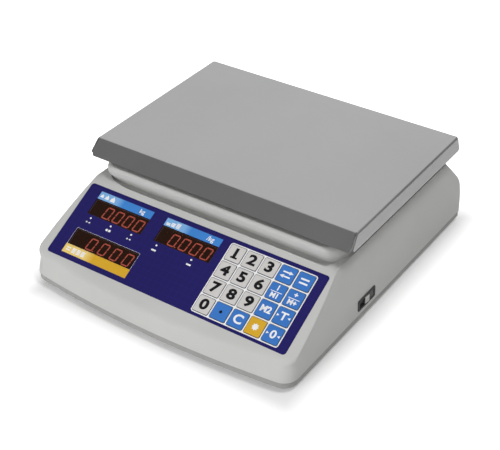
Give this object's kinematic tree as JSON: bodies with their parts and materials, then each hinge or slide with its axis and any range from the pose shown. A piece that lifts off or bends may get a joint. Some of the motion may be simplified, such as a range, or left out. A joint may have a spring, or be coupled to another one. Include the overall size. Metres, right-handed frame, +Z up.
{
  "type": "price-computing retail scale",
  "caption": "Counter scale with a flat steel pan on a single-point load cell, a sloping operator panel with lit displays and keys, and a moulded grey body.",
  "frame": {"origin": "on the table, under the middle of the bounding box", "axes": "+X to the operator's right, -Y towards the operator, +Z up"},
  "size_m": [0.3246, 0.353, 0.116],
  "materials": {
    "housing_grey": "fine-textured moulded plastic",
    "base_grey": "fine-textured moulded plastic",
    "overlay_navy": "satin printed sheet",
    "frame_white": "satin",
    "key_grey": "satin printed cap",
    "key_blue": "satin printed cap",
    "key_yellow": "satin printed cap",
    "window_tint": "glossy, tinted dark red-brown",
    "led_block": "matt, with lit red digits",
    "circuit_board": "solder resist",
    "black_plastic": "matt",
    "rocker_grey": "satin",
    "screw_steel": "zinc plated",
    "transformer_iron": "varnished",
    "battery_case": "matt",
    "level_green": "clear, with tinted fluid",
    "cast_alloy": "cast and machined",
    "pan_steel": "satin stainless",
    "insert_brass": "turned",
    "foot_rubber": "matt"
  },
  "bodies": {
    "housing": {"lower_base": "base_grey", "upper_housing": "housing_grey", "panel_overlay": "overlay_navy", "weight_window": "window_tint", "price_window": "window_tint", "total_window": "window_tint", "weight_digits": "led_block", "price_digits": "led_block", "total_digits": "led_block", "display_board": "circuit_board", "board_screws": "screw_steel", "rear_overlay": "overlay_navy", "rear_windows": "window_tint", "rear_digits": "led_block", "rear_board": "circuit_board", "main_board": "circuit_board", "transformer": "transformer_iron", "battery": "battery_case", "mains_inlet": "black_plastic", "power_switch_frame": "black_plastic", "level_vial": "level_green", "load_cell": "cast_alloy", "cell_pillar": "cast_alloy", "cell_bolts": "screw_steel", "overload_stop": "screw_steel", "foot_inserts": "insert_brass", "housing_screws": "screw_steel", "key_frame": "frame_white", "key_switches": "black_plastic"},
    "platform": {"load_post": "cast_alloy", "post_bolts": "screw_steel", "pan_support": "cast_alloy", "support_pads": "foot_rubber"},
    "pan": {"pan": "pan_steel"},
    "power_rocker": {"power_rocker": "rocker_grey"},
    "foot_front_left": {"foot_front_left": "foot_rubber"},
    "foot_front_right": {"foot_front_right": "foot_rubber"},
    "foot_rear_left": {"foot_rear_left": "foot_rubber"},
    "foot_rear_right": {"foot_rear_right": "foot_rubber"},
    "key_1": {"key_1": "key_grey"},
    "key_2": {"key_2": "key_grey"},
    "key_3": {"key_3": "key_grey"},
    "key_change": {"key_change": "key_blue"},
    "key_sum": {"key_sum": "key_blue"},
    "key_4": {"key_4": "key_grey"},
    "key_5": {"key_5": "key_grey"},
    "key_6": {"key_6": "key_grey"},
    "key_memory_1": {"key_memory_1": "key_blue"},
    "key_memory_2": {"key_memory_2": "key_blue"},
    "key_7": {"key_7": "key_grey"},
    "key_8": {"key_8": "key_grey"},
    "key_9": {"key_9": "key_grey"},
    "key_memory_3": {"key_memory_3": "key_blue"},
    "key_tare": {"key_tare": "key_blue"},
    "key_0": {"key_0": "key_grey"},
    "key_point": {"key_point": "key_blue"},
    "key_clear": {"key_clear": "key_blue"},
    "key_enter": {"key_enter": "key_yellow"},
    "key_zero": {"key_zero": "key_blue"}
  },
  "joints": [
    {"name": "platform_slide", "type": "slide", "parent": "housing", "child": "platform", "axis": [0, 0, -1], "range_m": [0, 0.0008], "stiffness_N_per_m": 150000, "springref_m": -0.0002, "deforming": ["load_cell"]},
    {"name": "pan_lift", "type": "slide", "parent": "platform", "child": "pan", "axis": [0, 0, 1], "range_m": [0, 0.06]},
    {"name": "power_rocker_hinge", "type": "hinge", "parent": "housing", "child": "power_rocker", "pos_m": [0.1565, -0.0293, 0.0247], "axis": [0, 0, 1], "range_deg": [0, 16]},
    {"name": "foot_front_left_screw", "type": "slide", "parent": "housing", "child": "foot_front_left", "axis": [0, 0, -1], "range_m": [0, 0.008]},
    {"name": "foot_front_right_screw", "type": "slide", "parent": "housing", "child": "foot_front_right", "axis": [0, 0, -1], "range_m": [0, 0.008]},
    {"name": "foot_rear_left_screw", "type": "slide", "parent": "housing", "child": "foot_rear_left", "axis": [0, 0, -1], "range_m": [0, 0.008]},
    {"name": "foot_rear_right_screw", "type": "slide", "parent": "housing", "child": "foot_rear_right", "axis": [0, 0, -1], "range_m": [0, 0.008]},
    {"name": "key_1_press", "type": "slide", "parent": "housing", "child": "key_1", "axis": [0, 0.454, -0.891], "range_m": [0, 0.0005], "stiffness_N_per_m": 1000, "springref_m": -0.0005},
    {"name": "key_2_press", "type": "slide", "parent": "housing", "child": "key_2", "axis": [0, 0.454, -0.891], "range_m": [0, 0.0005], "stiffness_N_per_m": 1000, "springref_m": -0.0005},
    {"name": "key_3_press", "type": "slide", "parent": "housing", "child": "key_3", "axis": [0, 0.454, -0.891], "range_m": [0, 0.0005], "stiffness_N_per_m": 1000, "springref_m": -0.0005},
    {"name": "key_change_press", "type": "slide", "parent": "housing", "child": "key_change", "axis": [0, 0.454, -0.891], "range_m": [0, 0.0005], "stiffness_N_per_m": 1000, "springref_m": -0.0005},
    {"name": "key_sum_press", "type": "slide", "parent": "housing", "child": "key_sum", "axis": [0, 0.454, -0.891], "range_m": [0, 0.0005], "stiffness_N_per_m": 1000, "springref_m": -0.0005},
    {"name": "key_4_press", "type": "slide", "parent": "housing", "child": "key_4", "axis": [0, 0.454, -0.891], "range_m": [0, 0.0005], "stiffness_N_per_m": 1000, "springref_m": -0.0005},
    {"name": "key_5_press", "type": "slide", "parent": "housing", "child": "key_5", "axis": [0, 0.454, -0.891], "range_m": [0, 0.0005], "stiffness_N_per_m": 1000, "springref_m": -0.0005},
    {"name": "key_6_press", "type": "slide", "parent": "housing", "child": "key_6", "axis": [0, 0.454, -0.891], "range_m": [0, 0.0005], "stiffness_N_per_m": 1000, "springref_m": -0.0005},
    {"name": "key_memory_1_press", "type": "slide", "parent": "housing", "child": "key_memory_1", "axis": [0, 0.454, -0.891], "range_m": [0, 0.0005], "stiffness_N_per_m": 1000, "springref_m": -0.0005},
    {"name": "key_memory_2_press", "type": "slide", "parent": "housing", "child": "key_memory_2", "axis": [0, 0.454, -0.891], "range_m": [0, 0.0005], "stiffness_N_per_m": 1000, "springref_m": -0.0005},
    {"name": "key_7_press", "type": "slide", "parent": "housing", "child": "key_7", "axis": [0, 0.454, -0.891], "range_m": [0, 0.0005], "stiffness_N_per_m": 1000, "springref_m": -0.0005},
    {"name": "key_8_press", "type": "slide", "parent": "housing", "child": "key_8", "axis": [0, 0.454, -0.891], "range_m": [0, 0.0005], "stiffness_N_per_m": 1000, "springref_m": -0.0005},
    {"name": "key_9_press", "type": "slide", "parent": "housing", "child": "key_9", "axis": [0, 0.454, -0.891], "range_m": [0, 0.0005], "stiffness_N_per_m": 1000, "springref_m": -0.0005},
    {"name": "key_memory_3_press", "type": "slide", "parent": "housing", "child": "key_memory_3", "axis": [0, 0.454, -0.891], "range_m": [0, 0.0005], "stiffness_N_per_m": 1000, "springref_m": -0.0005},
    {"name": "key_tare_press", "type": "slide", "parent": "housing", "child": "key_tare", "axis": [0, 0.454, -0.891], "range_m": [0, 0.0005], "stiffness_N_per_m": 1000, "springref_m": -0.0005},
    {"name": "key_0_press", "type": "slide", "parent": "housing", "child": "key_0", "axis": [0, 0.454, -0.891], "range_m": [0, 0.0005], "stiffness_N_per_m": 1000, "springref_m": -0.0005},
    {"name": "key_point_press", "type": "slide", "parent": "housing", "child": "key_point", "axis": [0, 0.454, -0.891], "range_m": [0, 0.0005], "stiffness_N_per_m": 1000, "springref_m": -0.0005},
    {"name": "key_clear_press", "type": "slide", "parent": "housing", "child": "key_clear", "axis": [0, 0.454, -0.891], "range_m": [0, 0.0005], "stiffness_N_per_m": 1000, "springref_m": -0.0005},
    {"name": "key_enter_press", "type": "slide", "parent": "housing", "child": "key_enter", "axis": [0, 0.454, -0.891], "range_m": [0, 0.0005], "stiffness_N_per_m": 1000, "springref_m": -0.0005},
    {"name": "key_zero_press", "type": "slide", "parent": "housing", "child": "key_zero", "axis": [0, 0.454, -0.891], "range_m": [0, 0.0005], "stiffness_N_per_m": 1000, "springref_m": -0.0005}
  ]
}
